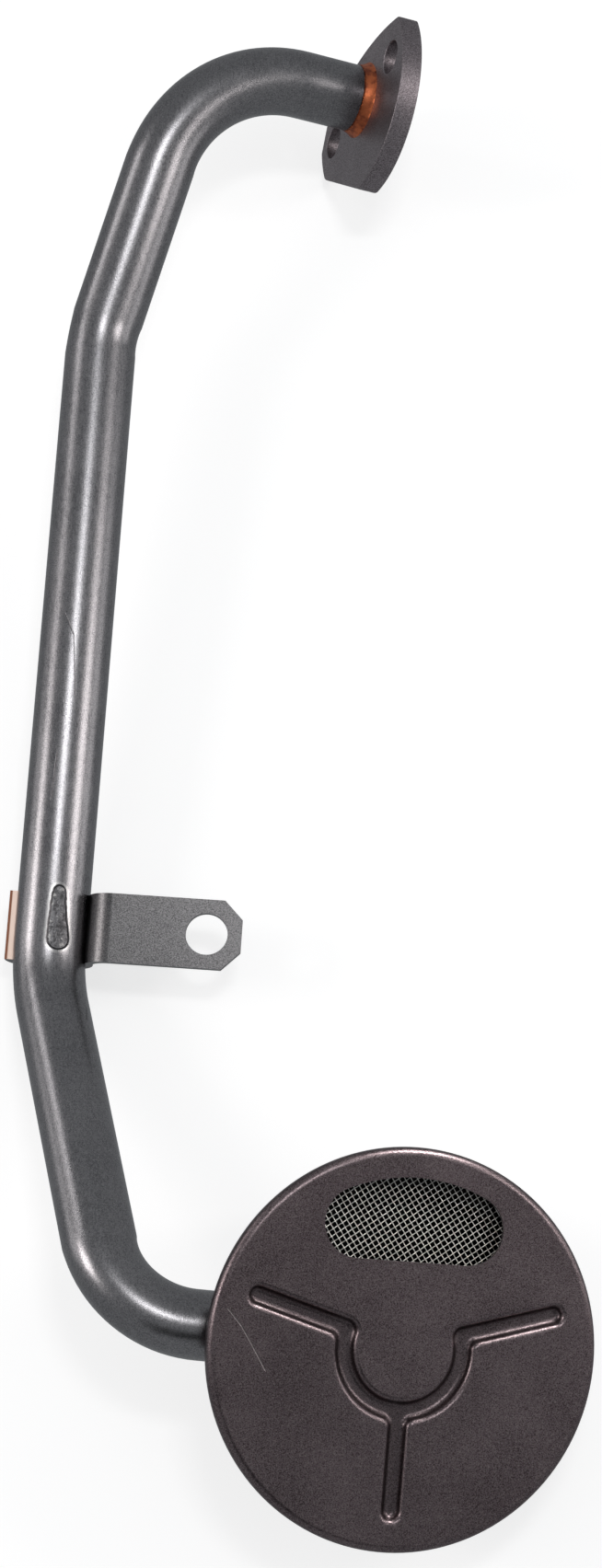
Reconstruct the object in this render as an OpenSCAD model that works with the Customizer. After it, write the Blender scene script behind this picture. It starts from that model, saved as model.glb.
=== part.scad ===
// Oil pickup tube with strainer, for a wet-sump engine.
// It lies on a bench as it comes to rest, with the strainer's inlet turned up.
// The origin is the middle of the oil port on the flange's sealing face; Z is up.
// Lengths are in millimetres and angles in degrees.

/* [Tube] */
// Outside diameter of the tube
tube_d = 19.05; // [17:0.05:20]
// Wall of the tube
tube_wall = 1.5; // [1:0.1:2.5]
// Radius of the three wide bends, at the tube's axis
bend_r = 38.1; // [34:0.1:44]
// Radius of the tight elbow beside the strainer
elbow_r = 25.4; // [22:0.1:28]
// Step that the bending die leaves at the ends of each bend
die_step = 0.15; // [0.12:0.01:0.3]
// Length of straight tube that the die grips past each bend
die_grip = 1; // [0.6:0.1:1.2]
// Straight from the flange's face to the first bend
run_flange = 18.9; // [12:0.1:40]
// Straight from the first bend to the second
run_upper = 46.1; // [30:0.1:70]
// Long straight that carries the bracket
run_main = 168; // [120:1:220]
// Straight from the third bend to the elbow
run_lower = 71.6; // [50:0.1:90]
// Straight from the elbow to the strainer's wall
run_strainer = 8.3; // [6:0.1:20]
// Angle of the first bend
bend_1 = 80.6; // [60:0.1:90]
// Angle of the second bend
bend_2 = 16.6; // [5:0.1:30]
// Angle of the third bend
bend_3 = 27.8; // [10:0.1:40]
// Angle of the elbow
bend_4 = 79.8; // [65:0.1:90]
// Turn of the first bend's plane from the line through the bolt holes
turn_1 = -120.1; // [-140:0.1:-100]
// Turn of the second bend's plane from the first
turn_2 = 53.2; // [40:0.1:70]
// Turn of the third bend's plane from the second
turn_3 = 25.5; // [10:0.1:40]
// Turn of the elbow's plane from the third bend
turn_4 = -71.7; // [-85:0.1:-60]

/* [Flange] */
// Thickness of the flange
flange_t = 6; // [5:0.1:10]
// Radius of the flange's round back
flange_r = 28.6; // [27:0.1:34]
// Distance of the arched side from the port's centre
flange_side = 14.6; // [13.5:0.1:20]
// Radius of the arched side
flange_arch_r = 74; // [50:1:120]
// Distance of the two short flats from the port's centre
flange_flat = 24.6; // [24:0.1:27]
// Direction of the first short flat from the line through the bolt holes
flat_1 = 145; // [135:1:150]
// Direction of the second short flat
flat_2 = 228; // [220:1:235]
// Spacing of the two bolt holes
bolt_pitch = 40; // [36:0.5:42]
// Diameter of the bolt holes
bolt_hole_d = 9.5; // [6:0.1:10]
// Thickness of the lip round the port, on which the tube's end stands
port_lip = 2; // [1:0.1:3]

/* [Bracket] */
// Thickness of the strap
strap_t = 2.4; // [1.5:0.1:3]
// Width of the strap
strap_w = 18.8; // [14:0.1:24]
// Distance of the strap's middle from the third bend
strap_back = 4.6; // [3:0.1:40]
// Turn of the arm round the tube
strap_turn = -29.2; // [-60:0.1:0]
// Inside radius of the bend between saddle and arm
strap_bend_r = 4.6; // [3:0.1:8]
// Straight end of the saddle on the side away from the arm
strap_end = 0.8; // [0.2:0.1:3]
// Distance of the bolt hole from the tube's axis
arm_hole_x = 42.2; // [34:0.1:60]
// Diameter of the bolt hole
arm_hole_d = 11.3; // [8:0.1:13]
// Distance from the bolt hole's centre to the arm's tip
arm_tip = 9.4; // [8:0.1:14]
// Cut at the corners of the arm's tip
arm_cut = 5; // [2:0.1:6]

/* [Strainer] */
// Outside diameter of the strainer
strainer_d = 101.6; // [96:0.1:120]
// Sheet thickness of cover and housing
sheet_t = 1.2; // [0.8:0.1:1.5]
// Width of the rolled rim
rim_w = 4.4; // [3.5:0.1:6]
// Radius of the cover's outer edge
rim_r = 2.2; // [1.6:0.1:2.4]
// Radius under the rolled rim
hem_r = 0.6; // [0.4:0.1:0.8]
// Width of the ledge on which the screen lies
ledge_w = 4.4; // [3:0.1:6]
// Corner radius at the bottom of the housing
cup_corner = 5; // [3:0.1:8]
// Wall left above and below the braze round the tube
wall_land = 0.4; // [0.2:0.1:3]
// Length of tube inside the housing's wall
tube_inset = 9; // [5:0.1:14]
// Turn of the strainer's face round the tube's end
strainer_roll = 124; // [100:0.5:150]
// Turn of the pressed pattern from the tube's entry
pattern_turn = 88.5; // [60:0.5:120]

/* [Inlet] */
// Distance of the window's upper edge from the cover's edge
window_edge = 7.6; // [6.5:0.1:10]
// Distance of the window's lower edge from the centre
window_low = 22; // [20.5:0.1:26]
// Radius of the window's round ends
window_end_r = 9; // [7:0.1:9.4]
// Radius of the groove's loop round the centre
loop_r = 15.4; // [12:0.1:16]
// Angle of the two side arms from the window's middle
arm_angle = 74; // [70:0.5:85]
// Distance of the arms' tips from the cover's edge
arm_edge = 7.3; // [7:0.1:12]
// Width of the groove between its shoulders
groove_w = 4.6; // [4:0.1:5]
// Depth of the groove
groove_h = 2.4; // [2:0.1:3]
// Radius of the groove's shoulders
shoulder_r = 1; // [0.6:0.1:1.2]
// Radius at the bottom of the groove
groove_r = 1.1; // [0.8:0.1:1.6]
// Radius at the edge of the groove's back
back_r = 1.7; // [1:0.1:2]
// Thickness of the woven screen
screen_t = 0.9; // [0.7:0.1:1.2]
// Pitch of the screen's gaps
mesh_pitch = 2.9; // [2.8:0.1:4]
// Bar left between two gaps
mesh_bar = 0.9; // [0.6:0.1:1.2]
// Turn of the weave from the window's middle line
mesh_turn = 38; // [0:1:90]

/* [Joints] */
// Gap filled by braze round the tube
braze_gap = 0.05; // [0.02:0.01:0.15]
// Leg of the braze fillets along the tube
braze_long = 3.2; // [2:0.1:5]
// Leg of the braze fillets along the plate
braze_wide = 1.4; // [0.8:0.1:2]
// Gap at the edges of screen and rolled rim
seam_gap = 0.1; // [0.05:0.01:0.3]

/* [Hidden] */
$fa = 4;
$fs = 0.6;
over = 1;
// angles of the flange's axes as the part lies on the bench
lie_roll = -27.50;
lie_pitch = -65.89;
lie_yaw = 27.22;
tube_r = tube_d / 2;
bore_r = tube_r - tube_wall;
strainer_r = strainer_d / 2;
step_r = strainer_r - rim_w;
cup_r = step_r - ledge_w;
screen_z = sheet_t + groove_h + seam_gap;
ledge_z = screen_z + screen_t;
entry_r = tube_r + braze_gap + braze_wide + wall_land;
tube_z = ledge_z + sheet_t + entry_r;
cup_z = tube_z + entry_r + cup_corner;
window_r = strainer_r - window_edge;
window_x = sqrt(pow(window_r - window_end_r, 2) - pow(window_low + window_end_r, 2));
arm_r = strainer_r - arm_edge - groove_w / 2 - shoulder_r;
entry_angle = 90 + pattern_turn;
strap_bend_x = tube_r + strap_t + strap_bend_r;
arm_end = arm_hole_x + arm_tip;
RUNS = [flange_t - port_lip + run_flange, run_upper, run_main, run_lower, run_strainer + tube_inset];
BENDS = [bend_1, bend_2, bend_3, bend_4];
TURNS = [turn_1, turn_2, turn_3, turn_4];
RADII = [bend_r, bend_r, bend_r, elbow_r];

// frame of the part lying on the bench
module lying() {
    rotate([lie_roll, lie_pitch, lie_yaw])
        children();
}

// from the start of a bend to its end
module past_bend(i) {
    translate([RADII[i] * (1 - cos(BENDS[i])), 0, RADII[i] * sin(BENDS[i])])
        rotate([0, BENDS[i], 0])
            children();
}

// from the tube's first end to the start of run n
module at_run(n, i = 0) {
    if (i == n)
        children();
    else
        translate([0, 0, RUNS[i]])
            rotate([0, 0, TURNS[i]])
                past_bend(i)
                    at_run(n, i + 1)
                        children();
}

// bend with the gripped length at both ends
module bent_length(axis_r, angle, r) {
    grip = die_grip / axis_r * 180 / PI;
    rotate([0, 0, -grip])
        rotate_extrude(angle = angle + 2 * grip)
            translate([axis_r, 0])
                circle(r = r);
}

// straights and bends one after the other, each in the frame that the last one ends in
module tube_path(r, ends, i = 0) {
    head = i == 0 ? ends : 0;
    tail = i == len(BENDS) ? ends : 0;
    translate([0, 0, -head])
        cylinder(h = RUNS[i] + head + tail, r = r);
    if (i < len(BENDS))
        translate([0, 0, RUNS[i]])
            rotate([0, 0, TURNS[i]]) {
                translate([RADII[i], 0, 0])
                    rotate([90, 0, 180])
                        bent_length(RADII[i], BENDS[i], r + die_step);
                past_bend(i)
                    tube_path(r, ends, i + 1);
            }
}

// frame of the tube's first end, standing on the port's lip
module on_lip() {
    lying()
        translate([0, 0, port_lip])
            children();
}

// frame of the strainer: face at z 0, inlet along +Z, window on the +Y side
module on_strainer() {
    on_lip()
        at_run(len(BENDS))
            translate([0, 0, run_strainer + cup_r])
                rotate([0, 0, strainer_roll])
                    translate([tube_z, 0, 0])
                        rotate([0, 90, 0])
                            rotate([0, 0, -entry_angle])
                                children();
}

// frame of the tube where it enters the strainer, looking outwards
module at_entry() {
    rotate([0, 0, entry_angle])
        translate([0, 0, -tube_z])
            rotate([0, 90, 0])
                children();
}

module pickup_tube() {
    color([0.42, 0.41, 0.42])
        on_lip()
            difference() {
                tube_path(tube_r, 0);
                tube_path(bore_r, over);
            }
}

// half plane that leaves a flat at the given distance and direction
module short_flat(direction) {
    rotate(direction)
        translate([flange_flat - 4 * flange_r, -2 * flange_r])
            square(4 * flange_r);
}

module flange_outline() {
    intersection() {
        circle(r = flange_r);
        translate([0, flange_side - flange_arch_r])
            circle(r = flange_arch_r);
        short_flat(flat_1);
        short_flat(flat_2);
    }
}

module mounting_flange() {
    color([0.32, 0.31, 0.32])
        lying()
            difference() {
                linear_extrude(height = flange_t)
                    flange_outline();
                translate([0, 0, -over])
                    cylinder(h = flange_t + 2 * over, r = bore_r);
                translate([0, 0, port_lip])
                    cylinder(h = flange_t, r = tube_r + braze_gap);
                for (side = [-1, 1])
                    translate([side * bolt_pitch / 2, 0, -over])
                        cylinder(h = flange_t + 2 * over, d = bolt_hole_d);
            }
}

// hollow-faced fillet between the tube and a plate at z 0
module braze_profile() {
    chord = norm([braze_wide, braze_long]);
    hollow = chord * 2.5;
    reach = sqrt(hollow * hollow - chord * chord / 4) / chord;
    translate([tube_r + braze_gap, 0])
        difference() {
            polygon([[0, 0], [braze_wide, 0], [0, braze_long]]);
            translate([braze_wide / 2 + reach * braze_long, braze_long / 2 + reach * braze_wide])
                circle(r = hollow);
        }
}

module flange_braze() {
    $fn = 200;
    color([0.78, 0.36, 0.2])
        lying()
            translate([0, 0, flange_t])
                rotate_extrude()
                    braze_profile();
}

// edge-on shape of the strap: saddle round the back, bend, flat arm
module strap_profile() {
    difference() {
        circle(r = tube_r + strap_t);
        translate([-2 * tube_d, 0])
            square(4 * tube_d);
        circle(r = tube_r / 2);
    }
    translate([-tube_r - strap_t, 0])
        square([strap_t + tube_r / 4, strap_end]);
    intersection() {
        translate([strap_bend_x, 0])
            difference() {
                circle(r = strap_bend_r + strap_t);
                circle(r = strap_bend_r);
            }
        translate([tube_r - over, 0])
            square([strap_bend_x - tube_r + over, strap_bend_r + strap_t + over]);
    }
    translate([strap_bend_x, strap_bend_r])
        square([arm_end - strap_bend_x, strap_t]);
}

// flat shape of the strap, with the arm's cut corners
module strap_blank() {
    polygon([[-tube_d, -strap_w / 2], [arm_end - arm_cut, -strap_w / 2], [arm_end, arm_cut - strap_w / 2],
             [arm_end, strap_w / 2 - arm_cut], [arm_end - arm_cut, strap_w / 2], [-tube_d, strap_w / 2]]);
}

module support_bracket() {
    color([0.36, 0.35, 0.36])
        on_lip()
            difference() {
                at_run(2)
                    translate([0, 0, run_main - strap_back])
                        rotate([0, 0, strap_turn])
                            difference() {
                                intersection() {
                                    translate([0, 0, -strap_w])
                                        linear_extrude(height = 2 * strap_w)
                                            strap_profile();
                                    translate([0, 2 * tube_d, 0])
                                        rotate([90, 0, 0])
                                            linear_extrude(height = 4 * tube_d)
                                                strap_blank();
                                }
                                translate([arm_hole_x, strap_bend_r - over, 0])
                                    rotate([-90, 0, 0])
                                        cylinder(h = strap_t + 2 * over, d = arm_hole_d);
                            }
                tube_path(tube_r + braze_gap, over);
            }
}

// half outline of a drawn cup: wall radius, depth and corner radius
module cup_half(r, depth, corner) {
    translate([0, corner - depth])
        square([r, depth - corner]);
    translate([0, -depth])
        square([r - corner, corner]);
    intersection() {
        translate([r - corner, corner - depth])
            circle(r = corner);
        translate([r - corner, -depth])
            square(corner);
    }
}

module housing_profile() {
    difference() {
        union() {
            translate([0, -2 * sheet_t])
                square([strainer_r - sheet_t - seam_gap, sheet_t]);
            translate([0, -ledge_z - sheet_t])
                square([step_r, ledge_z]);
            translate([0, -ledge_z])
                cup_half(cup_r, cup_z - ledge_z, cup_corner);
        }
        translate([0, -ledge_z])
            square([step_r - sheet_t, ledge_z]);
        translate([0, over - ledge_z])
            cup_half(cup_r - sheet_t, cup_z - ledge_z - sheet_t + over, cup_corner - sheet_t);
    }
}

module strainer_housing() {
    color([0.34, 0.33, 0.34])
        on_strainer()
            difference() {
                rotate_extrude()
                    housing_profile();
                at_entry()
                    translate([0, 0, cup_r / 2])
                        cylinder(h = cup_r, r = tube_r + braze_gap);
            }
}

module housing_braze() {
    $fn = 200;
    sag = cup_r - sqrt(pow(cup_r, 2) - pow(tube_r + braze_gap + braze_wide, 2));
    color([0.78, 0.36, 0.2])
        on_strainer()
            difference() {
                at_entry()
                    translate([0, 0, cup_r + braze_gap])
                        rotate_extrude() {
                            braze_profile();
                            translate([tube_r + braze_gap, -sag - over])
                                square([braze_wide, sag + over]);
                        }
                translate([0, 0, -cup_z])
                    cylinder(h = cup_z, r = cup_r);
            }
}

// window: arc beside the rim, straight lower edge, round ends
module window_outline() {
    high = window_low + window_end_r;
    for (side = [-1, 1])
        translate([side * window_x, high])
            circle(r = window_end_r);
    intersection() {
        circle(r = window_r);
        polygon([[-window_x, window_low], [window_x, window_low], [window_x, high],
                 2 * [window_x, high], 2 * [-window_x, high], [-window_x, high]]);
    }
}

function in_window(p, margin) =
    norm(p) < window_r - margin && p[1] > window_low + margin
    && (abs(p[0]) < window_x
        || norm([abs(p[0]) - window_x, p[1] - window_low - window_end_r]) < window_end_r - margin);

function turned(p, a) = [p[0] * cos(a) - p[1] * sin(a), p[0] * sin(a) + p[1] * cos(a)];

// woven disc: crossing bars with square gaps where the window shows it
module strainer_screen() {
    gap = mesh_pitch - mesh_bar;
    count = ceil(strainer_r / mesh_pitch);
    color([0.75, 0.75, 0.74])
        on_strainer()
            translate([0, 0, -ledge_z])
                linear_extrude(height = screen_t)
                    difference() {
                        circle(r = step_r - sheet_t - seam_gap);
                        for (i = [-count : count], j = [-count : count]) {
                            place = turned([i * mesh_pitch, j * mesh_pitch], mesh_turn);
                            if (in_window(place, gap / 3))
                                translate(place)
                                    rotate(mesh_turn)
                                        square(gap, center = true);
                        }
                    }
}

module cover_profile() {
    hem_z = 3 * sheet_t;
    difference() {
        union() {
            translate([0, -hem_z])
                square([strainer_r - rim_r, hem_z]);
            translate([strainer_r - rim_r, hem_r - hem_z])
                square([rim_r, hem_z - rim_r - hem_r]);
            translate([strainer_r - rim_r, -hem_z])
                square([rim_r - hem_r, hem_r]);
            intersection() {
                translate([strainer_r - rim_r, -rim_r])
                    circle(r = rim_r);
                translate([strainer_r - rim_r, -rim_r])
                    square(rim_r);
            }
            intersection() {
                translate([strainer_r - hem_r, hem_r - hem_z])
                    circle(r = hem_r);
                translate([strainer_r - hem_r, -hem_z])
                    square(hem_r);
            }
        }
        translate([0, -2 * sheet_t])
            square([strainer_r - sheet_t, sheet_t]);
        translate([0, -hem_z - over])
            square([step_r + seam_gap, sheet_t + over]);
    }
}

// half cross-section of the groove's hollow
module groove_hollow() {
    half = groove_w / 2;
    translate([0, groove_r - groove_h])
        square([half, groove_h - groove_r + over]);
    translate([0, -groove_h])
        square([half - groove_r, groove_r]);
    intersection() {
        translate([half - groove_r, groove_r - groove_h])
            circle(r = groove_r);
        translate([half - groove_r, -groove_h])
            square(groove_r);
    }
    translate([half, -shoulder_r])
        difference() {
            square([shoulder_r, shoulder_r + over]);
            translate([shoulder_r, 0])
                circle(r = shoulder_r);
            translate([shoulder_r / 2, shoulder_r])
                square([shoulder_r, over * 2]);
        }
}

// half cross-section of the groove's back
module groove_back() {
    half = groove_w / 2 + sheet_t;
    depth = groove_h + sheet_t;
    translate([0, back_r - depth])
        square([half, depth - back_r - sheet_t / 2]);
    translate([0, -depth])
        square([half - back_r, back_r]);
    intersection() {
        translate([half - back_r, back_r - depth])
            circle(r = back_r);
        translate([half - back_r, -depth])
            square(back_r);
    }
}

// both halves of a cross-section
module both_halves() {
    children();
    mirror([1, 0])
        children();
}

// three arms and the open loop, swept with the given half cross-section
module groove_sweep() {
    for (direction = [90 - arm_angle, 90 + arm_angle, 270])
        rotate([0, 0, direction]) {
            translate([loop_r, 0, 0])
                rotate([90, 0, 90])
                    linear_extrude(height = arm_r - loop_r)
                        both_halves()
                            children();
            translate([arm_r, 0, 0])
                rotate([0, 0, -90])
                    rotate_extrude(angle = 180)
                        children();
        }
    rotate([0, 0, 90 + arm_angle])
        rotate_extrude(angle = 360 - 2 * arm_angle)
            translate([loop_r, 0])
                both_halves()
                    children();
    for (side = [-1, 1])
        rotate([0, 0, 90 + side * arm_angle])
            translate([loop_r, 0, 0])
                rotate([0, 0, side > 0 ? 180 : 90])
                    rotate_extrude(angle = 90)
                        children();
}

module strainer_cover() {
    color([0.3, 0.28, 0.28])
        on_strainer()
            difference() {
                union() {
                    rotate_extrude()
                        cover_profile();
                    groove_sweep()
                        groove_back();
                }
                groove_sweep()
                    groove_hollow();
                translate([0, 0, -2 * sheet_t])
                    linear_extrude(height = 4 * sheet_t)
                        window_outline();
            }
}

pickup_tube();
mounting_flange();
flange_braze();
support_bracket();
strainer_housing();
housing_braze();
strainer_screen();
strainer_cover();
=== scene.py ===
import bpy
from math import asin, atan2, cos, pi, radians, sin
from mathutils import Euler, Matrix, Vector


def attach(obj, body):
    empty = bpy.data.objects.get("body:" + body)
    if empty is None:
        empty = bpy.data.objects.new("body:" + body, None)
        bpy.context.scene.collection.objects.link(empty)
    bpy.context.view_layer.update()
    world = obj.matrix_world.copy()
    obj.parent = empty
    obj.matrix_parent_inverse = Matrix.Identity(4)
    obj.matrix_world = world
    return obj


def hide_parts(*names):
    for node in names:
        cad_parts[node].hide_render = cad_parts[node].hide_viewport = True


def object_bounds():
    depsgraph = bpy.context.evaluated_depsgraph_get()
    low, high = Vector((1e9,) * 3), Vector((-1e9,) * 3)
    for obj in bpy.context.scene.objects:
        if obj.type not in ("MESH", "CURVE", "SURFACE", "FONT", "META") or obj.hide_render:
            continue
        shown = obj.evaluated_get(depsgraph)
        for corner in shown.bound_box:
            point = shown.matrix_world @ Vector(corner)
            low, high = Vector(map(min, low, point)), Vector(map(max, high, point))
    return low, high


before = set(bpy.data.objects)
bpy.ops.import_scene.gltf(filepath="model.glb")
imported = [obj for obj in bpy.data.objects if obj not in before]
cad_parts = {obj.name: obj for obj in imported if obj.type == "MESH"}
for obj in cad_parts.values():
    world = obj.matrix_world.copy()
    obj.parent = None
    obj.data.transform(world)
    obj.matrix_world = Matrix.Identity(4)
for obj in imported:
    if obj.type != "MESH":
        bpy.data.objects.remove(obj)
cad_box = [list(corner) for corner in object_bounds()]


# Pickup tube: one length of seamless steel tube, 19 mm outside with a 1.5 mm wall. It is cut, bent four
# times on a rotary bender and left bare, so it keeps the drawn grain along its length and die marks.
tube_r = 0.009525
tube_wall = 0.0015
tube_runs = [0.0229, 0.0461, 0.168, 0.0716, 0.0173]
tube_bends = [radians(80.6), radians(16.6), radians(27.8), radians(79.8)]
tube_turns = [radians(-120.1), radians(53.2), radians(25.5), radians(-71.7)]
tube_radii = [0.0381, 0.0381, 0.0381, 0.0254]
tube_flats = [0.09, 0.03, 0.035, 0.08]
tube_seat = 0.002
straight_step = 0.004
bend_step = 0.0018
flange_axes = Euler((radians(-27.50), radians(-65.89), radians(27.22)), "XYZ").to_matrix()


class Value:
    """A socket of a material's node tree, so that shader maths reads as Python expressions."""

    def __init__(self, finish, socket):
        self.finish = finish
        self.socket = socket

    def _math(self, operation, first, second=None):
        return self.finish.node("ShaderNodeMath", {"operation": operation}, {0: first, 1: second})

    def __add__(self, other):
        return self._math("ADD", self, other)

    def __mul__(self, other):
        return self._math("MULTIPLY", self, other)

    def __sub__(self, other):
        return self._math("SUBTRACT", self, other)

    def power(self, other):
        return self._math("POWER", self, other)

    def lowest(self, other):
        return self._math("MINIMUM", self, other)

    def highest(self, other):
        return self._math("MAXIMUM", self, other)

    def size(self):
        return self._math("ABSOLUTE", self)

    def step(self, low, high):
        """0 below low, 1 above high and smooth between; low may be the higher of the two."""
        return self.finish.node("ShaderNodeMapRange", {"interpolation_type": "SMOOTHSTEP"},
                                {"Value": self, "From Min": low, "From Max": high})


class Finish:
    """A procedural material with one Principled shader."""

    def __init__(self, name):
        self.material = bpy.data.materials.new(name)
        self.material.use_nodes = True
        self.tree = self.material.node_tree
        self.shader = self.tree.nodes["Principled BSDF"]
        self.place = self.node("ShaderNodeTexCoord", {}, {}, "Object")

    def node(self, kind, settings, inputs, output=0):
        node = self.tree.nodes.new(kind)
        for key, value in settings.items():
            setattr(node, key, value)
        for key, value in inputs.items():
            if isinstance(value, Value):
                self.tree.links.new(value.socket, node.inputs[key])
            elif value is not None:
                node.inputs[key].default_value = value
        return Value(self, node.outputs[output])

    def along(self, origin, direction):
        """Distance from a point along a direction."""
        offset = self.node("ShaderNodeVectorMath", {"operation": "SUBTRACT"},
                           {0: self.place, 1: tuple(origin)})
        return self.node("ShaderNodeVectorMath", {"operation": "DOT_PRODUCT"},
                         {0: offset, 1: tuple(direction)}, "Value")

    def noise(self, scale, detail=3.0, stretch=(1, 1, 1)):
        """Noise from 0 to 1, drawn out along the axes by stretch."""
        place = self.node("ShaderNodeMapping", {}, {"Vector": self.place,
                                                    "Scale": tuple(1 / s for s in stretch)})
        return self.node("ShaderNodeTexNoise", {}, {"Vector": place, "Scale": scale, "Detail": detail,
                                                    "Roughness": 0.55}, "Fac")

    def mix(self, factor, first, second):
        """Colour between first and second."""
        first, second = ((*c, 1) if isinstance(c, tuple) else c for c in (first, second))
        return self.node("ShaderNodeMix", {"data_type": "RGBA"}, {0: factor, 6: first, 7: second}, 2)

    def set(self, name, value):
        if isinstance(value, Value):
            self.tree.links.new(value.socket, self.shader.inputs[name])
        else:
            self.shader.inputs[name].default_value = value

    def relief(self, height, depth):
        self.set("Normal", self.node("ShaderNodeBump", {}, {"Height": height, "Distance": depth,
                                                            "Strength": 1.0}))


def bare_steel(name, dark, light, rough, grain=0.00002, stretch=(1, 1, 1)):
    """Bare or lightly oiled steel: cloudy tone, fine grain and drawn streaks."""
    steel = Finish(name)
    cloud = steel.noise(60, 4)
    speck = steel.noise(2000, 2, stretch)
    fine = steel.noise(3400, 1)
    steel.tone = (cloud - 0.5) * 0.6 + (speck - 0.5) * 0.8 + (fine - 0.5) * 2.6 + 0.5
    steel.colour = steel.mix(steel.tone, dark, light)
    steel.gloss = (cloud - 0.5) * 0.1 + (speck - 0.5) * 0.1 + rough
    steel.height = speck * 0.5 + fine
    steel.grain = grain
    steel.set("Metallic", 1.0)
    return steel


def close_steel(steel):
    steel.set("Base Color", steel.colour)
    steel.set("Roughness", steel.gloss)
    steel.relief(steel.height, steel.grain)
    return steel.material


def begin_edit(piece):
    bpy.ops.object.select_all(action="DESELECT")
    piece.select_set(True)
    bpy.context.view_layer.objects.active = piece
    bpy.ops.object.mode_set(mode="EDIT")


def end_edit():
    bpy.ops.object.mode_set(mode="OBJECT")


def modify(piece, kind, **settings):
    bpy.context.view_layer.objects.active = piece
    modifier = piece.modifiers.new(kind.lower(), kind)
    for key, value in settings.items():
        setattr(modifier, key, value)
    bpy.ops.object.modifier_apply(modifier=modifier.name)


def finish_piece(piece, name, material, *nodes, angle=40):
    """Names a piece, shades it, gives it its material and puts it in the place of its CAD nodes."""
    piece.name = name
    piece.data.name = name
    bpy.ops.object.select_all(action="DESELECT")
    piece.select_set(True)
    bpy.context.view_layer.objects.active = piece
    bpy.ops.object.shade_smooth_by_angle(angle=radians(angle))
    modify(piece, "WEIGHTED_NORMAL", keep_sharp=True, weight=100)
    piece.data.materials.clear()
    piece.data.materials.append(material)
    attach(piece, "root")
    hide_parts(*nodes)


# the frame in which each straight starts, carried from bend to bend
tube_start = flange_axes @ Vector((0, 0, tube_seat))
starts = [(tube_start, flange_axes.copy())]
for run, bend, turn, radius in zip(tube_runs, tube_bends, tube_turns, tube_radii):
    place, axes = starts[-1]
    axes = axes @ Matrix.Rotation(turn, 3, "Z")
    place = place + axes @ Vector((radius * (1 - cos(bend)), 0, run + radius * sin(bend)))
    starts.append((place, axes @ Matrix.Rotation(bend, 3, "Y")))

bpy.ops.object.select_all(action="DESELECT")
bpy.ops.mesh.primitive_circle_add(vertices=72, radius=tube_r, location=tube_start,
                                  rotation=flange_axes.to_euler())
tube = bpy.context.object
bpy.ops.object.transform_apply()
begin_edit(tube)
bpy.ops.mesh.select_all(action="SELECT")
for i, run in enumerate(tube_runs):
    place, axes = starts[i]
    pieces = max(4, round(run / straight_step))
    for _ in range(pieces):
        bpy.ops.mesh.extrude_region_move(
            TRANSFORM_OT_translate={"value": axes @ Vector((0, 0, run / pieces))})
    if i < len(tube_bends):
        axes = axes @ Matrix.Rotation(tube_turns[i], 3, "Z")
        pivot = place + axes @ Vector((tube_radii[i], 0, run))
        steps = max(10, round(tube_bends[i] * tube_radii[i] / bend_step))
        last = 1.0
        for k in range(1, steps + 1):
            bpy.ops.mesh.spin(steps=1, angle=tube_bends[i] / steps, center=pivot,
                              axis=axes @ Vector((0, -1, 0)))
            turned = axes @ Matrix.Rotation(tube_bends[i] * k / steps, 3, "Y")
            flat = 1 - tube_flats[i] * sin(pi * k / steps) ** 0.7 if k < steps else 1.0
            bpy.ops.transform.resize(value=(flat / last, 1, 1), orient_type="GLOBAL",
                                     orient_matrix=turned.transposed(), orient_matrix_type="GLOBAL",
                                     center_override=pivot + turned @ Vector((-tube_radii[i], 0, 0)))
            last = flat
bpy.ops.mesh.select_all(action="SELECT")
bpy.ops.mesh.remove_doubles(threshold=0.00001)
bpy.ops.mesh.normals_make_consistent(inside=False)
end_edit()
modify(tube, "SOLIDIFY", thickness=tube_wall, offset=-1.0)
steel = bare_steel("drawn_tube_steel", (0.16, 0.156, 0.165), (0.34, 0.332, 0.342), 0.29, 0.000012, (1, 5, 1))


def score(finish, start, end, out, width):
    """Mask of a scratch between two points of a surface that faces out."""
    start, end, out = Vector(start), Vector(end), Vector(out).normalized()
    way = (end - start).normalized()
    length = (end - start).length
    reach = finish.along(start, way)
    off = finish.along(start, out.cross(way).normalized()).size()
    near = finish.along(start, out).size()
    return (off.step(width, width * 0.3) * reach.step(0, 0.0008) * reach.step(length, length - 0.0008)
            * near.step(0.004, 0.003))


# scratches of the bending die and of handling
scratches = score(steel, (-0.0876, -0.1583, 0.0028), (-0.0849, -0.1649, 0.0027), (-0.2, -0.15, 0.95), 0.00022)
for start, end, out, width in (
        ((-0.0849, -0.1647, 0.0027), (-0.0841, -0.1829, 0.0010), (0.1, -0.1, 0.97), 0.00018),
        ((-0.0888, -0.1970, -0.0003), (-0.0903, -0.2109, -0.0017), (-0.25, 0, 0.97), 0.00022),
        ((-0.0587, -0.0244, 0.0234), (-0.0611, -0.0293, 0.0224), (0.2, -0.27, 0.94), 0.0002),
        ((-0.0608, -0.0285, 0.0225), (-0.0627, -0.0347, 0.0210), (0.2, -0.28, 0.94), 0.0002),
        ((-0.0795, -0.2660, -0.0080), (-0.0793, -0.2708, -0.0051), (0.85, 0.3, 0.4), 0.0003)):
    scratches = scratches.highest(score(steel, start, end, out, width))

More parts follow.
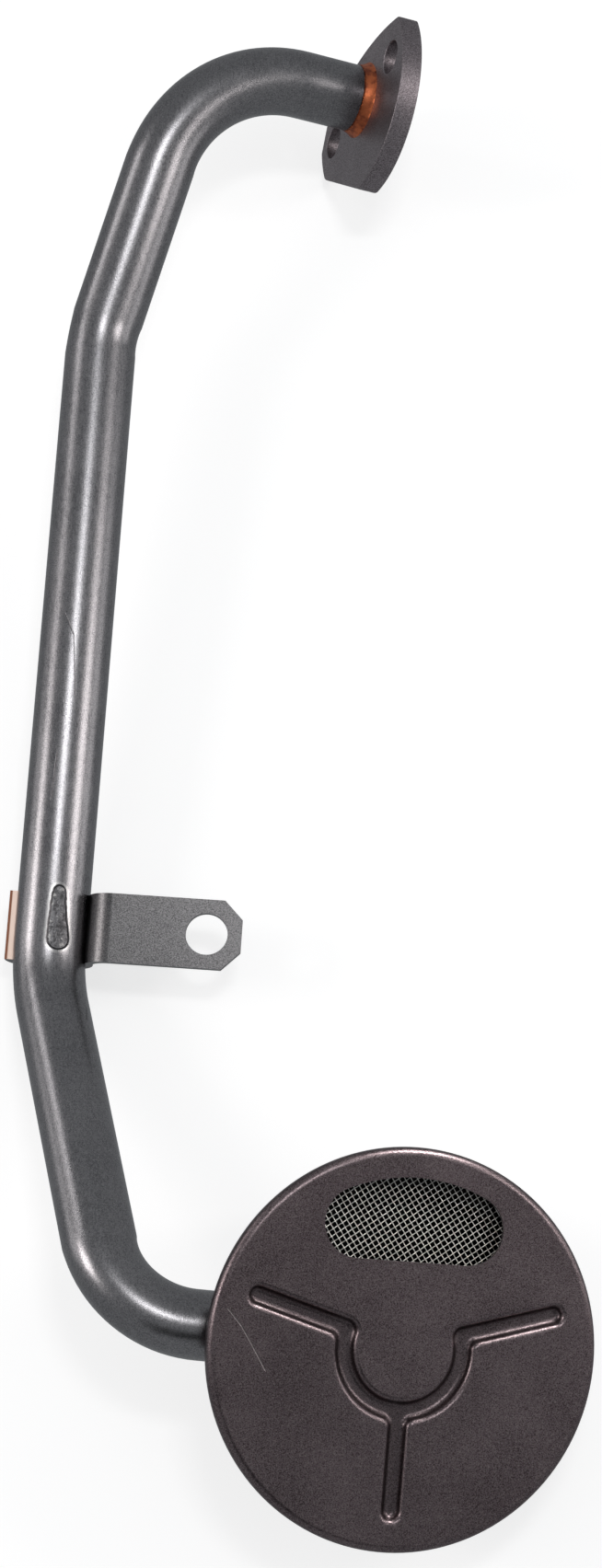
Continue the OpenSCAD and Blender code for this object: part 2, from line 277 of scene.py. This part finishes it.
# tongue of rough, dark scale that the brazing left beside the strap, with a dark line round its edge. The
# light spots on its lumps and the lighter lips outside it are painted highlights.
tongue = Vector((-0.0874, -0.2340, -0.0036))
tongue_out = Vector((0.24, -0.04, 0.97)).normalized()
tongue_way = (Vector((-0.0876, -0.2509, -0.0052)) - tongue).normalized()
reach = steel.along(tongue, tongue_way)
off = steel.along(tongue, tongue_out.cross(tongue_way).normalized()) + (steel.noise(300, 2) - 0.5) * 0.0009
tongue_r = 0.0015
tongue_taper = 0.11
core = reach.highest(0.0016).lowest(0.0142)
past = reach - core
edge = (off * off + past * past).power(0.5) - core * tongue_taper - tongue_r
facing = steel.along(tongue, tongue_out).step(-0.004, -0.003)
scale = edge.step(0.0001, -0.0003) * facing
contour = edge.size().step(0.00032, 0.0001) * facing
lip_painted_highlight = (edge - 0.0006).size().step(0.0006, 0.0001) * facing
lumps = steel.noise(650, 2)
steel.colour = steel.mix(scratches * 0.7, steel.colour, (0.06, 0.058, 0.06))
steel.colour = steel.mix(scale * 0.75, steel.colour, (0.13, 0.128, 0.133))
# painted highlight: light spots on the tops of the scale's lumps stand in for glints
steel.colour = steel.mix(scale * lumps.step(0.57, 0.66) * 0.6, steel.colour, (0.42, 0.41, 0.40))
steel.colour = steel.mix(scale * lumps.step(0.46, 0.38) * 0.7, steel.colour, (0.06, 0.058, 0.06))
# painted highlight: the lips just outside the tongue's edge are painted lighter
steel.colour = steel.mix(lip_painted_highlight * 0.5, steel.colour, (0.55, 0.54, 0.53))
steel.colour = steel.mix(contour * 0.85, steel.colour, (0.05, 0.048, 0.05))
steel.gloss = steel.gloss + scale * 0.10
steel.height = steel.height - scratches * 6 + scale * lumps * 26 - contour * 8
finish_piece(tube, "pickup_tube_drawn", close_steel(steel), "pickup_tube")


# Mounting flange: a thick steel plate, sawn to its outline and drilled for two bolts and the oil port. The
# tube's end stands in its counterbore. Its edges are broken by a light deburring.
def worked_copy(node, flat=0.6):
    """A copy of a CAD node with its triangles merged and its flat faces made whole."""
    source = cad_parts[node]
    piece = source.copy()
    piece.data = source.data.copy()
    for key in list(piece.keys()):
        del piece[key]
    piece.parent = None
    bpy.context.scene.collection.objects.link(piece)
    begin_edit(piece)
    bpy.ops.mesh.select_all(action="SELECT")
    bpy.ops.mesh.remove_doubles(threshold=0.000002)
    bpy.ops.mesh.dissolve_limited(angle_limit=radians(flat))
    end_edit()
    return piece


corner_r = 0.0007
broken_edge = 0.00035
flange = worked_copy("mounting_flange")
flange_way = flange_axes @ Vector((0, 0, 1))
begin_edit(flange)
bpy.ops.mesh.select_mode(type="EDGE")
bpy.ops.mesh.select_all(action="DESELECT")
bpy.ops.mesh.edges_select_sharp(sharpness=radians(22))
end_edit()
for edge in flange.data.edges:
    first, last = (flange.data.vertices[v].co for v in edge.vertices)
    edge.select = edge.select and abs((last - first).normalized().dot(flange_way)) > 0.99
begin_edit(flange)
bpy.ops.mesh.bevel(offset=corner_r, segments=3, affect="EDGES")
end_edit()
modify(flange, "BEVEL", width=broken_edge, segments=2, limit_method="ANGLE", angle_limit=radians(50))
steel = bare_steel("sawn_plate_steel", (0.14, 0.12, 0.129), (0.385, 0.345, 0.363), 0.44, 0.00003)
finish_piece(flange, "mounting_flange_plate", close_steel(steel), "mounting_flange")


# Flange braze: the copper fillet that furnace brazing leaves round the tube. It is thin, smooth and a
# little darker where the flux has burnt.
braze = worked_copy("flange_braze", 0.05)
copper = Finish("furnace_copper")
stain = copper.noise(420, 4)
copper.set("Base Color", copper.mix(stain.step(0.35, 0.7), (0.56, 0.155, 0.06), (0.22, 0.055, 0.028)))
copper.set("Metallic", 0.85)
copper.set("Roughness", stain * 0.2 + 0.34)
copper.relief(copper.noise(1300, 3), 0.00006)
finish_piece(braze, "flange_braze_fillet", copper.material, "flange_braze", angle=50)


# Support bracket: a stamped steel strap, wrapped round the back of the tube and brazed to it, then bent out
# to a flat arm with a bolt hole and two cropped corners. Copper shows on its cut end.
strap_back = 0.0046
strap_turn = radians(-29.2)
sheared_edge = 0.0003
bracket = worked_copy("support_bracket")
modify(bracket, "BEVEL", width=sheared_edge, segments=2, limit_method="ANGLE", angle_limit=radians(50))
strap_place, strap_axes = starts[2]
strap_place = strap_place + strap_axes @ Vector((0, 0, tube_runs[2] - strap_back))
strap_axes = strap_axes @ Matrix.Rotation(strap_turn, 3, "Z")
steel = bare_steel("stamped_strap_steel", (0.079, 0.077, 0.079), (0.222, 0.216, 0.220), 0.36, 0.00002)
across = steel.along(strap_place, strap_axes @ Vector((1, 0, 0)))
outwards = steel.along(strap_place, strap_axes @ Vector((0, 1, 0)))
end = across.step(-0.0088, -0.0092) * outwards.step(-0.0001, 0.0006)
steel.colour = steel.mix(end, steel.colour, (1.0, 0.80, 0.69))
steel.colour = steel.mix(end * across.step(-0.0110, -0.0114), steel.colour, (0.30, 0.13, 0.08))
steel.gloss = steel.gloss + end * 0.15
finish_piece(bracket, "support_bracket_strap", close_steel(steel), "support_bracket")


# Strainer housing: the deep-drawn cup behind the cover. Its wall is pierced for the tube, and its ledge
# carries the screen. Its inside is painted near black as painted shade.
cup_run = 0.0083
cup_r = 0.042
cup_in_r = 0.0408
ledge_r = 0.0456
ledge_level = -0.0052
tube_level = 0.017175
cup_roll = radians(124)
pattern_turn = radians(-178.5)
cup_centre, cup_axes = starts[4]
cup_centre = cup_centre + cup_axes @ Vector((0, 0, cup_run + cup_r))
cup_axes = cup_axes @ Matrix.Rotation(cup_roll, 3, "Z")
cup_centre = cup_centre + cup_axes @ Vector((tube_level, 0, 0))
cup_axes = cup_axes @ Matrix.Rotation(radians(90), 3, "Y") @ Matrix.Rotation(pattern_turn, 3, "Z")
cup_way = cup_axes @ Vector((0, 0, 1))
housing = worked_copy("strainer_housing", 0.1)
cup_floor = min((vertex.co - cup_centre).dot(cup_way) for vertex in housing.data.vertices)
steel = bare_steel("drawn_cup_steel", (0.11, 0.093, 0.096), (0.22, 0.192, 0.197), 0.38, 0.00003)
wide = steel.along(cup_centre, cup_axes @ Vector((1, 0, 0)))
tall = steel.along(cup_centre, cup_axes @ Vector((0, 1, 0)))
level = steel.along(cup_centre, cup_way)
from_axis = (wide * wide + tall * tall).power(0.5)
# painted shade: the inside of the cup and the part below the ledge are painted near black
inside = (from_axis.step(cup_in_r + 0.0008, cup_in_r + 0.0002)
          * level.step(cup_floor + 0.0004, cup_floor + 0.0008))
inside = inside.highest(from_axis.step(ledge_r + 0.0004, ledge_r)
                        * level.step(ledge_level - 0.0004, ledge_level))
steel.colour = steel.mix(inside, steel.colour, (0.006, 0.005, 0.005))
finish_piece(housing, "strainer_housing_cup", close_steel(steel), "strainer_housing", angle=35)


# Housing braze: the copper fillet where the tube passes through the cup's wall. It is the same furnace
# copper as at the flange.
seam = worked_copy("housing_braze", 0.05)
finish_piece(seam, "housing_braze_fillet", copper.material, "housing_braze", angle=50)


# Strainer screen: a disc of plain-woven bright steel wire, held between the housing's ledge and the cover's
# groove. Each wire goes over and under the ones that cross it.
wire_r = 0.00013
wire_pitch = 0.0014
weft_turn = radians(37)
warp_turn = radians(37 + 88)
screen_r = 0.0450
screen_depth = 0.00415
border_t = 0.0005
border_low = 0.0195
border_side = 0.026
wire_lap = 0.001


def woven_set(turn, first):
    """One set of parallel wires, modelled as one wire over and one under, then repeated."""
    wires = []
    for side in (0, 1):
        bpy.ops.object.select_all(action="DESELECT")
        bpy.ops.mesh.primitive_circle_add(vertices=6, radius=wire_r, location=(-screen_r, 0, 0),
                                          rotation=(0, pi / 2, 0))
        wire = bpy.context.object
        bpy.ops.object.transform_apply()
        begin_edit(wire)
        bpy.ops.mesh.select_all(action="SELECT")
        steps = int(2 * screen_r / (wire_pitch / 4))
        height = [wire_r * 0.98 * first * cos(pi * (k / 4 + side)) for k in range(steps + 1)]
        bpy.ops.transform.translate(value=(0, 0, height[0]))
        for k in range(steps):
            bpy.ops.mesh.extrude_region_move(
                TRANSFORM_OT_translate={"value": (wire_pitch / 4, 0, height[k + 1] - height[k])})
        bpy.ops.mesh.select_all(action="SELECT")
        bpy.ops.mesh.fill_holes(sides=6)
        bpy.ops.mesh.normals_make_consistent(inside=False)
        end_edit()
        count = int(screen_r / (2 * wire_pitch))
        modify(wire, "ARRAY", count=2 * count + 1, use_relative_offset=False, use_constant_offset=True,
               constant_offset_displace=(0, 2 * wire_pitch, 0))
        wire.location = (0, (side - 2 * count) * wire_pitch, 0)
        wire.select_set(True)
        bpy.ops.object.transform_apply()
        wires.append(wire)
    bpy.ops.object.select_all(action="DESELECT")
    for wire in wires:
        wire.select_set(True)
    bpy.context.view_layer.objects.active = wires[0]
    bpy.ops.object.join()
    piece = bpy.context.object
    piece.rotation_euler = (0, 0, turn)
    bpy.ops.object.transform_apply()
    return piece


weft = woven_set(weft_turn, 1)
warp = woven_set(warp_turn, -1)
bpy.ops.object.select_all(action="DESELECT")
weft.select_set(True)
warp.select_set(True)
bpy.context.view_layer.objects.active = weft
bpy.ops.object.join()
screen = bpy.context.object
begin_edit(screen)
bpy.ops.mesh.select_mode(type="VERT")
bpy.ops.mesh.select_all(action="DESELECT")
end_edit()
for vertex in screen.data.vertices:
    vertex.select = (vertex.co.xy.length > screen_r or vertex.co.y < border_low - wire_lap
                     or abs(vertex.co.x) > border_side + wire_lap)
begin_edit(screen)
bpy.ops.mesh.delete(type="VERT")
bpy.ops.mesh.select_all(action="SELECT")
bpy.ops.mesh.fill_holes(sides=6)
end_edit()
bpy.ops.object.select_all(action="DESELECT")
bpy.ops.mesh.primitive_circle_add(vertices=96, radius=screen_r, fill_type="NGON")
border = bpy.context.object
begin_edit(border)
for point, normal in (((0, border_low, 0), (0, 1, 0)), ((-border_side, 0, 0), (1, 0, 0)),
                      ((border_side, 0, 0), (1, 0, 0))):
    bpy.ops.mesh.select_all(action="SELECT")
    bpy.ops.mesh.bisect(plane_co=point, plane_no=normal)
bpy.ops.mesh.select_mode(type="FACE")
bpy.ops.mesh.select_all(action="DESELECT")
end_edit()
for face in border.data.polygons:
    face.select = face.center.y > border_low and abs(face.center.x) < border_side
begin_edit(border)
bpy.ops.mesh.delete(type="FACE")
end_edit()
modify(border, "SOLIDIFY", thickness=border_t, offset=0.0)
bpy.ops.object.select_all(action="DESELECT")
border.select_set(True)
screen.select_set(True)
bpy.context.view_layer.objects.active = screen
bpy.ops.object.join()
screen_place = cup_centre + cup_axes @ Vector((0, 0, -screen_depth))
screen.matrix_world = Matrix.Translation(screen_place) @ cup_axes.to_4x4()
bpy.ops.object.transform_apply()
wire_steel = Finish("bright_wire_steel")
dull = wire_steel.noise(900, 2)
wire_steel.set("Base Color", wire_steel.mix(dull, (0.97, 0.95, 0.90), (0.82, 0.80, 0.76)))
wire_steel.set("Metallic", 1.0)
wire_steel.set("Roughness", dull * 0.1 + 0.27)
finish_piece(screen, "strainer_screen_weave", wire_steel.material, "strainer_screen", angle=70)


# Strainer cover: a round lid stamped from sheet steel. The inlet window is pierced through it, a three-armed
# groove is pressed into it to stiffen it, and its rim is rolled round the edge of the cup.
cover_r = 0.0508
rim_r = 0.0022
hem_r = 0.0006
hem_in = 0.04645
hem_depth = 0.0036
sheet_t = 0.0012
rim_points = 144
loop_r = 0.0154
arm_r = 0.0402
arm_turn = radians(16)
groove_half = 0.0036
shoulder_r = 0.0015
floor_r = 0.0017
wall_slope = radians(75.5)
groove_depth = 0.0024
neck_r = 0.0046
elbow_r = 0.0006
window_r = 0.0432
window_low = 0.022
window_end_r = 0.009


def arc(x, y, radius, start, stop, count):
    """Points on an arc from one angle to another."""
    turns = (start + (stop - start) * k / (count - 1) for k in range(count))
    return [(x + radius * cos(a), y + radius * sin(a)) for a in turns]


def groove_line(half):
    """Closed outline of the groove at a given half width, with the same number of points for each width."""
    far = loop_r + neck_r
    lean = asin(neck_r / far)
    bend = asin(elbow_r / (loop_r + elbow_r))
    turn = arm_turn
    right = arc(0, -arm_r, half, 1.5 * pi, 2 * pi, 9)
    right += arc(neck_r, -far * cos(lean), neck_r - half, pi, pi / 2 + lean, 9)
    right += arc(0, 0, loop_r + half, lean - pi / 2, turn - lean, 24)[1:-1]
    right += arc(far * cos(turn - lean), far * sin(turn - lean), neck_r - half, pi + turn - lean,
                 pi / 2 + turn, 9)
    right += arc(arm_r * cos(turn), arm_r * sin(turn), half, turn - pi / 2, turn + pi / 2, 17)
    corner = loop_r + elbow_r
    right += arc(corner * cos(turn - bend), corner * sin(turn - bend), half + elbow_r, turn + pi / 2,
                 turn + pi - bend, 12)
    right += arc(0, 0, loop_r - half, turn - bend, -pi / 2, 26)[1:]
    return right + [(-x, y) for x, y in right[-2:0:-1]]


def new_loop(points, depth):
    """A closed line through the given points, made from a circle with as many vertices."""
    bpy.ops.object.select_all(action="DESELECT")
    bpy.ops.mesh.primitive_circle_add(vertices=len(points), radius=0.01)
    piece = bpy.context.object
    for vertex, (x, y) in zip(piece.data.vertices, points):
        vertex.co = (x, y, depth)
    return piece


# rim: turned outwards over the edge and back under it, from the hem's inner edge to the flat top
rim = new_loop(arc(0, 0, hem_in, 0, 2 * pi * (rim_points - 1) / rim_points, rim_points), -hem_depth)
hem = arc(cover_r - hem_r, hem_r - hem_depth, hem_r, -pi / 2, 0, 5)
roll = arc(cover_r - rim_r, -rim_r, rim_r, 0, pi / 2, 8)
begin_edit(rim)
bpy.ops.mesh.select_mode(type="EDGE")
bpy.ops.mesh.select_all(action="SELECT")
last = (hem_in, -hem_depth)
for reach, height in hem + roll:
    bpy.ops.mesh.extrude_region_move(TRANSFORM_OT_translate={"value": (0, 0, height - last[1])})
    bpy.ops.transform.resize(value=(reach / last[0], reach / last[0], 1), center_override=(0, 0, 0))
    last = (reach, height)
end_edit()

# groove: rounded shoulder, sloping wall, rounded foot and a narrow floor
floor_half = groove_half - (shoulder_r + floor_r) * sin(wall_slope)
steps = [(groove_half - shoulder_r * sin(a), shoulder_r * (cos(a) - 1)) for a in
         (wall_slope * k / 7 for k in range(8))]
steps += [(floor_half + floor_r * sin(a), floor_r * (1 - cos(a)) - groove_depth) for a in
          (wall_slope * k / 7 for k in range(6, -1, -1))]
groove = new_loop(groove_line(steps[0][0]), 0)
count = len(groove.data.vertices)
for half, height in steps[1:]:
    begin_edit(groove)
    bpy.ops.mesh.select_mode(type="EDGE")
    bpy.ops.mesh.select_all(action="DESELECT")
    end_edit()
    line = groove_line(half)
    newest = range(len(groove.data.vertices) - count, len(groove.data.vertices))
    for edge in groove.data.edges:
        edge.select = edge.vertices[0] in newest and edge.vertices[1] in newest
    begin_edit(groove)
    bpy.ops.mesh.extrude_region_move(TRANSFORM_OT_translate={"value": (0, 0, -0.0001)})
    end_edit()
    for below, above in zip(range(len(groove.data.vertices) - count, len(groove.data.vertices)), newest):
        groove.data.vertices[below].co = (*line[above - newest[0]], height)
begin_edit(groove)
bpy.ops.mesh.edge_face_add()
end_edit()

# window: arc beside the rim, straight lower edge and round ends
window_x = ((window_r - window_end_r) ** 2 - (window_low + window_end_r) ** 2) ** 0.5
slant = atan2(window_low + window_end_r, window_x)
window = new_loop(arc(window_x, window_low + window_end_r, window_end_r, -pi / 2, slant, 22)
                  + arc(0, 0, window_r, slant, pi - slant, 26)[1:-1]
                  + arc(-window_x, window_low + window_end_r, window_end_r, pi - slant, 1.5 * pi, 22), 0)
bpy.ops.object.select_all(action="DESELECT")
for piece in (groove, window, rim):
    piece.select_set(True)
bpy.context.view_layer.objects.active = rim
bpy.ops.object.join()
cover = bpy.context.object
begin_edit(cover)
bpy.ops.mesh.select_mode(type="EDGE")
bpy.ops.mesh.select_all(action="DESELECT")
end_edit()
for edge in cover.data.edges:
    edge.select = all(abs(cover.data.vertices[v].co.z) < 1e-6 for v in edge.vertices)
begin_edit(cover)
bpy.ops.mesh.fill(use_beauty=True)
bpy.ops.mesh.select_all(action="SELECT")
bpy.ops.mesh.normals_make_consistent(inside=False)
end_edit()
if max(cover.data.polygons, key=lambda face: face.center.z * 1000 + face.area).normal.z < 0:
    begin_edit(cover)
    bpy.ops.mesh.flip_normals()
    end_edit()
modify(cover, "SOLIDIFY", thickness=sheet_t, offset=-1.0, use_even_offset=True)
cover.matrix_world = Matrix.Translation(cup_centre) @ cup_axes.to_4x4()
cover.select_set(True)
bpy.ops.object.transform_apply()
steel = bare_steel("stamped_cover_steel", (0.076, 0.057, 0.061), (0.255, 0.208, 0.216), 0.33, 0.00003)
# painted shade: the sheet is darkened towards the bottom of the pressed groove
below = steel.along(cup_centre, cup_way)
steel.colour = steel.mix(below.step(-0.0003, -0.0020) * 0.25, steel.colour, (0.02, 0.017, 0.018))
for start, end in (((-0.0467, 0.0077), (-0.0424, 0.0031)), ((-0.0430, 0.0039), (-0.0391, -0.0017)),
                   ((-0.0396, -0.0010), (-0.0352, -0.0077))):
    start, end = (cup_centre + cup_axes @ Vector((*point, 0)) for point in (start, end))
    mark = score(steel, start, end, cup_way, 0.0002)
    steel.colour = steel.mix(mark * 0.6, steel.colour, (0.42, 0.39, 0.38))
    steel.height = steel.height - mark * 4
finish_piece(cover, "strainer_cover_lid", close_steel(steel), "strainer_cover", angle=35)


# Bench: a plain pale sheet on which the part lies. It glows a little, so that it stays white, and it is kept
# out of the steel's reflections.
bench_z = cad_box[0][2]
bpy.ops.object.select_all(action="DESELECT")
bpy.ops.mesh.primitive_grid_add(x_subdivisions=4, y_subdivisions=4, size=6, location=(0, -0.2, bench_z))
bench = bpy.context.object
bench.name = "bench"
paper = Finish("white_paper")
paper.set("Base Color", paper.mix(paper.noise(4), (0.50, 0.50, 0.50), (0.53, 0.53, 0.53)))
paper.set("Roughness", 0.9)
paper.set("Emission Color", (1, 1, 1, 1))
paper.set("Emission Strength", 0.70)
bench.data.materials.append(paper.material)
bench.visible_glossy = False

# Curtain: dark cloth at the near end of the bench, behind the camera. It keeps the room's light off that
# side, and the camera doesn't see it.
bpy.ops.object.select_all(action="DESELECT")
bpy.ops.mesh.primitive_grid_add(x_subdivisions=4, y_subdivisions=4, size=1,
                                location=(0, -1.25, bench_z + 1.2), rotation=(pi / 2, 0, 0),
                                scale=(4, 2.4, 1))
curtain = bpy.context.object
curtain.name = "curtain"
bpy.ops.object.transform_apply()
cloth = Finish("dark_cloth")
cloth.set("Base Color", cloth.mix(cloth.noise(30), (0.010, 0.010, 0.010), (0.016, 0.016, 0.016)))
cloth.set("Roughness", 1.0)
cloth.set("Specular IOR Level", 0.0)
curtain.data.materials.append(cloth.material)
curtain.visible_camera = False

# Studio light: three strip boxes beside each other over the bench, each dimmer along its far part, with dark
# gaps between them, and a dim room. A small box behind the part lights the strainer's face alone.
world = bpy.data.worlds.new("dim_room")
bpy.context.scene.world = world
world.use_nodes = True
world.node_tree.nodes["Background"].inputs["Color"].default_value = (0.93, 0.97, 1.0, 1)
world.node_tree.nodes["Background"].inputs["Strength"].default_value = 0.32
bpy.context.scene.view_settings.view_transform = "Standard"


def soft_box(name, place, tilt, width, length, glow, tint):
    """An area light of even radiance, tilted about the Y axis."""
    lamp = bpy.data.lights.new(name, "AREA")
    lamp.shape = "RECTANGLE"
    lamp.size = width
    lamp.size_y = length
    lamp.energy = glow * pi * width * length
    lamp.color = tint
    box = bpy.data.objects.new(name, lamp)
    box.location = place
    box.rotation_euler = (0, radians(tilt), 0)
    bpy.context.scene.collection.objects.link(box)
    return box


for strip in (
        ("left_strip", (-1.06, -0.175, 0.62), -57, 0.36, 0.33, 8.2, (1.0, 0.95, 0.93)),
        ("left_strip_middle", (-1.06, 0.03, 0.62), -57, 0.36, 0.08, 3.0, (1.0, 0.95, 0.93)),
        ("left_strip_far", (-1.06, 0.23, 0.62), -57, 0.34, 0.32, 0.30, (1.0, 0.97, 0.96)),
        ("left_strip_end", (-1.06, 0.46, 0.60), -57, 0.40, 0.15, 4.6, (1.0, 0.97, 0.96)),
        ("left_strip_low", (-1.00, -0.12, 0.08), -85, 0.30, 0.40, 0.9, (1.0, 0.97, 0.96)),
        ("over_strip_near", (0.09, -0.17, 1.30), 0, 0.27, 0.18, 1.6, (1.0, 1.0, 1.0)),
        ("over_strip", (0.09, -0.02, 1.30), 0, 0.27, 0.13, 22.0, (1.0, 1.0, 1.0)),
        ("over_strip_far", (0.07, 0.21, 1.30), 0, 0.22, 0.34, 0.6, (0.96, 0.98, 1.0)),
        ("right_strip", (0.84, -0.115, 0.62), 57, 0.34, 0.17, 8.5, (1.0, 0.95, 0.93)),
        ("right_strip_middle", (0.84, 0.01, 0.62), 57, 0.34, 0.08, 1.8, (1.0, 0.95, 0.93)),
        ("right_strip_far", (0.84, 0.20, 0.62), 57, 0.34, 0.30, 0.4, (1.0, 0.97, 0.96)),
        ("right_strip_low", (0.80, -0.12, 0.08), 85, 0.30, 0.40, 1.2, (1.0, 0.97, 0.96))):
    soft_box(*strip)
back_place = (0.163, -0.056, 0.220)
back_box = soft_box("back_box", back_place, 0, 0.11, 0.11, 32.0, (1.0, 0.97, 0.95))
back_box.rotation_euler = (cup_centre - Vector(back_place)).to_track_quat("-Z", "Y").to_euler()
strainer_face = bpy.data.collections.new("strainer_face")
strainer_face.objects.link(cover)
strainer_face.objects.link(screen)
back_box.light_linking.receiver_collection = strainer_face

# Camera: above the bench, tipped a little, as the photograph was taken. Its lens and its place come from the
# fit of the part's outline to the photograph's.
camera = bpy.data.cameras.new("camera")
camera.sensor_fit = "VERTICAL"
camera.sensor_height = 36
camera.lens = 75.557
camera.clip_end = 20
viewer = bpy.data.objects.new("camera", camera)
viewer.location = (-0.0526003, -0.4709619, 0.8489540)
viewer.rotation_euler = (radians(17.3239), radians(-2.0124), radians(0.0118))
bpy.context.scene.collection.objects.link(viewer)
bpy.context.scene.camera = viewer
